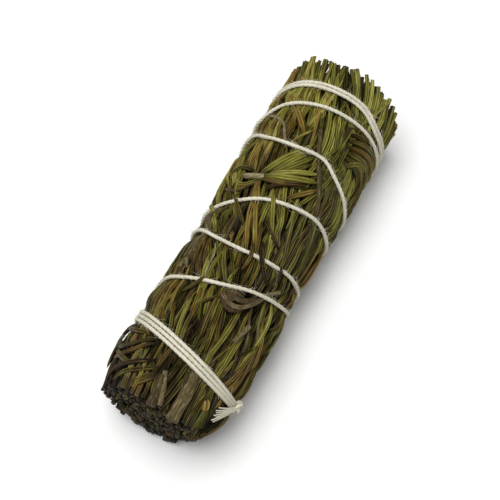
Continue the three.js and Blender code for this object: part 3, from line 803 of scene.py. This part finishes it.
for number in range(1, OUTER_SPRIGS + 1):
    middle = SECTOR * (number - 1)
    sprig = Sprig()
    angle = np.radians(middle + np.array([-0.25, 0.25]) * SECTOR)
    stem_end = -STEM_TRIM + draws.uniform(0, 2.4, OUTER_STEMS)
    tip_end = draws.uniform(34, 44, OUTER_STEMS)
    x = rows_between(stem_end, tip_end, stem_form["marks"])[:, ::-1]
    thick = draws.uniform(*OUTER_STEM_SIZE, OUTER_STEMS)
    level = tones(draws.uniform(0.3, 0.5, OUTER_STEMS), np.zeros(OUTER_STEMS))
    radius = np.minimum(OUTER_STEM_RADIUS, flat_radius(angle, AXIS_HEIGHT - 2))[:, None] + 0 * x
    sprig.grow(stem_form, x, angle[:, None] + 0 * x, radius, thick, thick, 0, level, BARK)
    for (end, line, shade), count in zip(ENDS, RING["needles"]):
        end_needles(sprig, math.radians(middle), SECTOR / 2, RING["radii"], count, end, line, shade)
    drawn = []
    for layer in LAYERS:
        for row in range(layer["rows"]):
            share = (row + draws.uniform(0.1, 0.9)) / layer["rows"]
            root = -STEM_TRIM - 10 + (STEM_TRIM + TIP_TRIM + 4) * share
            where = middle + SECTOR * draws.uniform(-0.35, 0.35)
            drawn.append(tuft(root, where, layer["depth"], layer["needles"], layer["shade"]))
    for stray in range(STRAYS):
        root = draws.uniform(-STEM_TRIM, TIP_TRIM - 10)
        drawn.append(loose_needle(root, middle + SECTOR * draws.uniform(-0.5, 0.5)))
    lay_needles(sprig, drawn, ROOT_DIVE)
    for owner, stops, width, height, light, green, over in HAND_LAID:
        if owner == number:
            lay_one(sprig, stops, width, height, light, green, depth=0.25, over=over)
    for owner, stops, thick, light, depth in STEMS_SHOWN:
        if owner == number:
            lay_one(sprig, stops, thick, thick, light, 0, form=stem_form, depth=depth)
    if number == FAN_SPRIG:
        for stops, depth in FAN:
            width, light, green = draws.uniform((1.3, 0.22, 0.1), (1.7, 0.48, 0.6))
            lay_one(sprig, stops, width, 1, light, green, depth=depth)
    if number == BUNCH_SPRIG:
        for stops in BUNCH:
            lay_one(sprig, stops, draws.uniform(1.6, 2.1), 0.9, draws.uniform(0.4, 0.62), 0.9)
    sprig.make(f"rosemary_outer_{number:02d}", f"outer_sprig_{number:02d}", "rosemary", ROSEMARY_FINISHES)

# Crossing sprig
# One sprig tip was laid across the bundle before it was tied. Its pale cut stem points to one side, and
# its needles fan out over the others from the end of the stem.
CROSSING_STEM = ((-35, 12.6), (-25, 13), (-15, 13.7))
# Stops of degrees and x, width, light, green and depth
CROSSING_NEEDLES = (
    (((-19, 14.2), (-5, 21.1), (9, 27.6)), 1.9, 0.66, 0.8, 0.2),
    (((-12, 14.5), (0, 20.5), (10, 25.7)), 1.8, 0.6, 0.9, 0.45),
    (((-8, 15.8), (7, 21), (16, 25.2)), 1.7, 0.52, 0.9, 0.6),
    (((-12, 14.6), (-3, 16.2), (10, 18.4), (26, 21)), 1.8, 0.7, 1, 0.3),
    (((-17, 13.6), (5, 15.8), (30, 19)), 1.9, 0.64, 0.9, 0.2),
    (((-16, 12.8), (-3, 13.3), (10, 14.7)), 1.5, 0.52, 0.4, 0.3),
    (((-8, 10.4), (-2, 12.4), (9, 14.5), (22, 16.5)), 1.4, 0.3, 0.1, 0.25),
    (((14, 11), (23, 13.8), (33, 17.2)), 1.5, 0.62, 0.4, 0.25),
    (((-12, 14), (2, 17.4), (17, 22.6)), 1.6, 0.42, 0.8, 0.95),
    (((-14, 13.2), (6, 14.4), (27, 16.4)), 1.6, 0.36, 0.6, 0.95),
    (((-16, 12.6), (-32, 9.9), (-48, 11.7)), 1.2, 0.66, 0.9, 0.3),
    (((-18, 12), (-36, 7.9), (-55, 8.7)), 1.4, 0.34, 0.2, 0.35),
    (((-28, 14.6), (-46, 15.2), (-62, 13.4)), 1.3, 0.42, 0.7, 0.3),
    (((-17, 12.4), (-16, 8.7), (-14, 5.2)), 1.5, 0.6, 0.15, 0.3),
)

sprig = Sprig()
lay_one(sprig, CROSSING_STEM, 1.6, 1.6, 0.86, 0, form=stem_form, depth=0.45)
for stops, width, light, green, depth in CROSSING_NEEDLES:
    lay_one(sprig, stops, width, 1, light, green, depth=depth, roll=draws.normal(0, 0.25))
sprig.make("rosemary_crossing_tip", "crossing_sprig", "rosemary", ROSEMARY_FINISHES)

# Folded sprig
# Another sprig tip was folded over the side near the trimmed tips. Its needles bow together round the
# bundle and pass under the string.
FOLDED_STEM = ((30, 38.2), (37, 33.4), (44, 28.6))
FOLDED_TIPS = ((76, 40.6), (88, 39.4), (100, 37.6), (98, 34.2), (92, 30.6), (84, 28), (72, 30.8))

sprig = Sprig()
lay_one(sprig, FOLDED_STEM, 1.6, 1.6, 0.3, 0, form=stem_form, depth=1.9)
for layer, depth in enumerate((0.35, 1)):
    for order, (tip, tip_x) in enumerate(FOLDED_TIPS):
        share = order / (len(FOLDED_TIPS) - 1)
        tip = tip - 5 * layer
        root = (30 + 14 * share + 1.5, 38.2 - 9.6 * share)
        knee = ((root[0] + tip) / 2, (root[1] + tip_x) / 2 + 2.2 - layer)
        width = draws.uniform(1.4, 1.9)
        # The lower layer is 0.15 darker, which is painted shade under the upper one.
        light, green = draws.uniform(0.4, 0.66) - 0.15 * layer, draws.uniform(0.2, 0.7)
        lay_one(sprig, (root, knee, (tip, tip_x)), width, 1, light, green, depth=depth)
sprig.make("rosemary_folded_tip", "folded_sprig", "rosemary", ROSEMARY_FINISHES)

# Curled twig
# A bare grey side shoot curled up as it dried. Its few shrivelled leaves cling along it, and the string
# runs over its thin end.
CURLED = ((9, -20.4), (17, -21.6), (27, -21.2), (35, -18.8), (42, -16), (50, -12.4), (57, -10.4))
SHRIVELLED_WIDTHS = (0.7, 0.95, 0.8, 1.05, 0.85, 1, 0.8, 0.9, 0.62, 0.5, 0.2)
shrivelled_leaf = strand_form(NEEDLE_CORNERS, NEEDLE_MARKS, SHRIVELLED_WIDTHS)
# Stops of degrees and x, width, light and depth
CURLED_LEAVES = (
    (((9, -20.2), (13, -21.6), (19, -22.2), (28, -21.2), (37, -17.6), (47, -13.2)), 1.9, 0.78, 0),
    (((11, -19.8), (18, -19.2), (25, -19.4), (33, -17.8), (44, -14.6)), 1.5, 0.6, 0.2),
    (((8, -20.8), (12, -22), (17, -23), (25, -22.6), (33, -20.2)), 1.3, 0.52, 0.3),
    (((10, -19.2), (14, -18.4), (20, -18), (27, -18.2)), 1.1, 0.66, 0.25),
    (((8, -19.6), (10, -20.8), (15, -21), (20, -20.4)), 1.3, 0.82, -0.3),
)

sprig = Sprig()
lay_one(sprig, CURLED, 1.3, 1.3, 0.68, 0, form=stem_form, depth=0.5)
for stops, width, light, depth in CURLED_LEAVES:
    roll = draws.normal(0, 0.5)
    lay_one(sprig, stops, width, 1.1, light, 0, form=shrivelled_leaf, depth=depth, roll=roll)
sprig.make("rosemary_curled_shoot", "curled_twig", "twig", ROSEMARY_FINISHES)

# Cotton string
# One length of soft white cotton string, three plies twisted together. It is wound round the stem end,
# knotted there, climbs the bundle in open turns and ends under its own turns near the tips.
STRING_STEP = 0.3
PLY_PITCH = 4.2
PLY_DEPTH = 0.16
PROFILE_CORNERS = 12
KNOT_X = -39.6
KNOT_RADIUS = 0.95
TAIL = ((88, -39.6), (79, -41.9), (71, -43.9), (61, -46.4))
TAIL_PLIES = 7
TAIL_SPREAD = 1.9
FUZZ = {"fibres": 1500, "reach": (0.35, 1.3), "drift": 2.2, "thick": (0.05, 0.08)}
FUZZ_MARKS = (0, 0.3, 0.65, 1)
COTTON_STOPS = (
    (0, (0.34, 0.31, 0.22)),
    (0.5, (0.61, 0.575, 0.45)),
    (1, (0.8, 0.77, 0.64)),
)

cotton_finish, wire = new_finish("twisted_cotton")
spot = wire.make("ShaderNodeTexCoord", output="Object")
fibre = wire.noise(spot, 5200, 3)
soil = wire.noise(spot, 160, 3)
level = 0.62 + (fibre - 0.5) * 0.5 + (soil - 0.5) * 0.5
close_finish(wire, level.ramp(COTTON_STOPS), 0.82 + fibre * 0.15, fibre, 0.00012, Specular_IOR_Level=0.2)


def cotton_run(points, thickness):
    """A run of three-ply string along close points, closed at both ends."""
    curve = bpy.data.curves.new("cotton_run", "CURVE")
    curve.dimensions = "3D"
    curve.use_fill_caps = True
    curve.bevel_mode = "OBJECT"
    curve.bevel_object = ply_section
    spline = curve.splines.new("POLY")
    spline.points.add(len(points) - 1)
    spots = np.concatenate([points * MM, np.ones((len(points), 1))], axis=1)
    spline.points.foreach_set("co", spots.ravel())
    steps = np.linalg.norm(np.diff(points, axis=0), axis=1)
    run = np.concatenate([[0], np.cumsum(steps)])
    spline.points.foreach_set("tilt", 2 * math.pi * run / PLY_PITCH)
    spline.points.foreach_set("radius", np.broadcast_to(thickness, len(points)))
    strand = bpy.data.objects.new("cotton_run", curve)
    bpy.context.scene.collection.objects.link(strand)
    strands.append(strand)


bpy.ops.curve.primitive_nurbs_circle_add(radius=STRING_DIAMETER / 2 * MM)
ply_section = bpy.context.object
ply_section.data.splines.clear()
outline = ply_section.data.splines.new("POLY")
outline.points.add(PROFILE_CORNERS - 1)
for i, point in enumerate(outline.points):
    around = 2 * math.pi * i / PROFILE_CORNERS
    reach = STRING_DIAMETER / 2 * (1 - PLY_DEPTH * (0.5 - 0.5 * math.cos(3 * around))) * MM
    point.co = (reach * math.cos(around), reach * math.sin(around), 0, 1)
outline.use_cyclic_u = True

strands = []
total = np.arange(ROUTE_START, ROUTE_END, math.degrees(STRING_STEP / MEAN_RADIUS))
x = route_x(total)
angle = np.radians(total)
cotton_run(place(x, angle, string_radius(x, angle)), 1)

turn = np.linspace(0, 2 * math.pi, 60)
swell = KNOT_RADIUS * (1 + 0.42 * np.cos(3 * turn))
knot_x = KNOT_X + swell * np.cos(2 * turn)
knot_angle = np.radians(KNOT_ANGLE) + swell * np.sin(2 * turn) / MEAN_RADIUS
knot_radius = girth(knot_x) + 0.5 + 0.55 * np.sin(3 * turn)
cotton_run(place(knot_x, knot_angle, knot_radius), 0.9)

marks = np.linspace(0, 1, 26)
for aside in np.linspace(-1, 1, TAIL_PLIES):
    x, angle = route_rows(TAIL, marks * draws.uniform(0.86, 1.08))
    opened = aside * (0.35 + (TAIL_SPREAD - 0.35) * marks**1.6)
    x = x[0] + opened * 0.9
    angle = angle[0] - opened * 0.4 / MEAN_RADIUS
    height = body_radius(x, angle) + STRING_DIAMETER / 2 + 0.35 * np.cos(2 * aside) * (1 - marks)
    cotton_run(place(x, angle, height), 0.55 - 0.25 * marks**2)

fibre_form = strand_form([(0, 1), (0.87, -0.5), (-0.87, -0.5)], FUZZ_MARKS, (1, 0.9, 0.8, 0.5))
fuzz = Sprig()
count = FUZZ["fibres"]
total = draws.uniform(ROUTE_START, ROUTE_END, count)[:, None]
drift = np.degrees(draws.normal(0, FUZZ["drift"], (count, 1)) / MEAN_RADIUS)
leaving = np.radians(draws.uniform(-100, 100, (count, 1)))
away = STRING_DIAMETER * 0.42 + draws.uniform(*FUZZ["reach"], (count, 1)) * np.array(FUZZ_MARKS) ** 1.4
around = np.clip(total + drift * np.array(FUZZ_MARKS), ROUTE_START, ROUTE_END)
x = route_x(around) + np.sin(leaving) * away
angle = np.radians(around)
radius = string_radius(route_x(around), angle) + np.cos(leaving) * away
thick = draws.uniform(*FUZZ["thick"], count)
fuzz.grow(fibre_form, x, angle, radius, thick, thick, 0, tones(np.ones(count), np.zeros(count)), 0)
fuzz_fibres = fuzz.gather("cotton_fuzz", (cotton_finish,))

bpy.ops.object.select_all(action="DESELECT")
for strand in (*strands, fuzz_fibres):
    strand.select_set(True)
bpy.context.view_layer.objects.active = strands[0]
bpy.ops.object.convert(target="MESH")
bpy.ops.object.join()
cotton = bpy.context.object
cotton.name = "cotton_winding"
bpy.ops.object.mode_set(mode="EDIT")
bpy.ops.mesh.select_all(action="SELECT")
bpy.ops.mesh.remove_doubles(threshold=0.000001)
bpy.ops.mesh.normals_make_consistent(inside=False)
bpy.ops.object.mode_set(mode="OBJECT")
bpy.ops.object.shade_smooth_by_angle(angle=SMOOTH_UP_TO)
cotton.data.materials.clear()
cotton.data.materials.append(cotton_finish)
bpy.data.objects.remove(ply_section)
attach(cotton, "root")
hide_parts("cotton_string")

# Table top and light
# The stick lies on a plain white studio table under one large soft lamp, above and a little to the left,
# with white walls that fill the shadows.
TABLE_SIZE = 3
TABLE_WHITE = ((0, (0.86, 0.86, 0.86)), (1, (0.9, 0.9, 0.895)))
LAMP_SIZE = 1.5
LAMP_PLACE = (-0.2, 0.24, 1.95)
LAMP_POWER = 46
ROOM_LIGHT = 0.26

bpy.ops.mesh.primitive_plane_add(size=TABLE_SIZE)
table = bpy.context.object
table.name = "white_table"
table_finish, wire = new_finish("white_table_top")
spot = wire.make("ShaderNodeTexCoord", output="Object")
grain = wire.noise(spot, 9, 2)
close_finish(wire, grain.ramp(TABLE_WHITE), 0.8 + grain * 0.05, grain, 0.00005, Specular_IOR_Level=0.1)
table.data.materials.append(table_finish)
table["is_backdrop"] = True

lamp = bpy.data.objects.new("soft_lamp", bpy.data.lights.new("soft_lamp", "AREA"))
lamp.data.size = LAMP_SIZE
lamp.data.energy = LAMP_POWER
lamp.location = LAMP_PLACE
lamp.rotation_euler = (-lamp.location).to_track_quat("-Z", "Y").to_euler()
bpy.context.scene.collection.objects.link(lamp)
room = bpy.data.worlds.new("white_room")
room.use_nodes = True
room.node_tree.nodes["Background"].inputs["Color"].default_value = (1, 1, 1, 1)
room.node_tree.nodes["Background"].inputs["Strength"].default_value = ROOM_LIGHT
bpy.context.scene.world = room
bpy.context.scene.view_settings.view_transform = "Standard"

# Camera
# It looks down on the stick at the photograph's angle, with the stem end at the lower left.
AZIMUTH = math.radians(-61.5)
ELEVATION = math.radians(64)
DISTANCE = 350
LENS = 96.3
AIM = (-0.89, 0.34)
AIM_HEIGHT = 16.2
SENSOR = 36

back = np.array(
    [math.sin(AZIMUTH) * math.cos(ELEVATION), -math.cos(AZIMUTH) * math.cos(ELEVATION), math.sin(ELEVATION)]
)
right = np.array([math.cos(AZIMUTH), math.sin(AZIMUTH), 0])
upward = np.cross(back, right)
eye = np.array([0, axis_middle[1], AIM_HEIGHT]) + back * DISTANCE + right * AIM[0] + upward * AIM[1]
camera = bpy.data.objects.new("camera", bpy.data.cameras.new("camera"))
camera.data.lens = LENS
camera.data.sensor_width = SENSOR
camera.location = eye * MM
camera.rotation_euler = (math.pi / 2 - ELEVATION, 0, AZIMUTH)
camera.data.clip_start = 0.01
bpy.context.scene.collection.objects.link(camera)
bpy.context.scene.camera = camera

low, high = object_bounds()
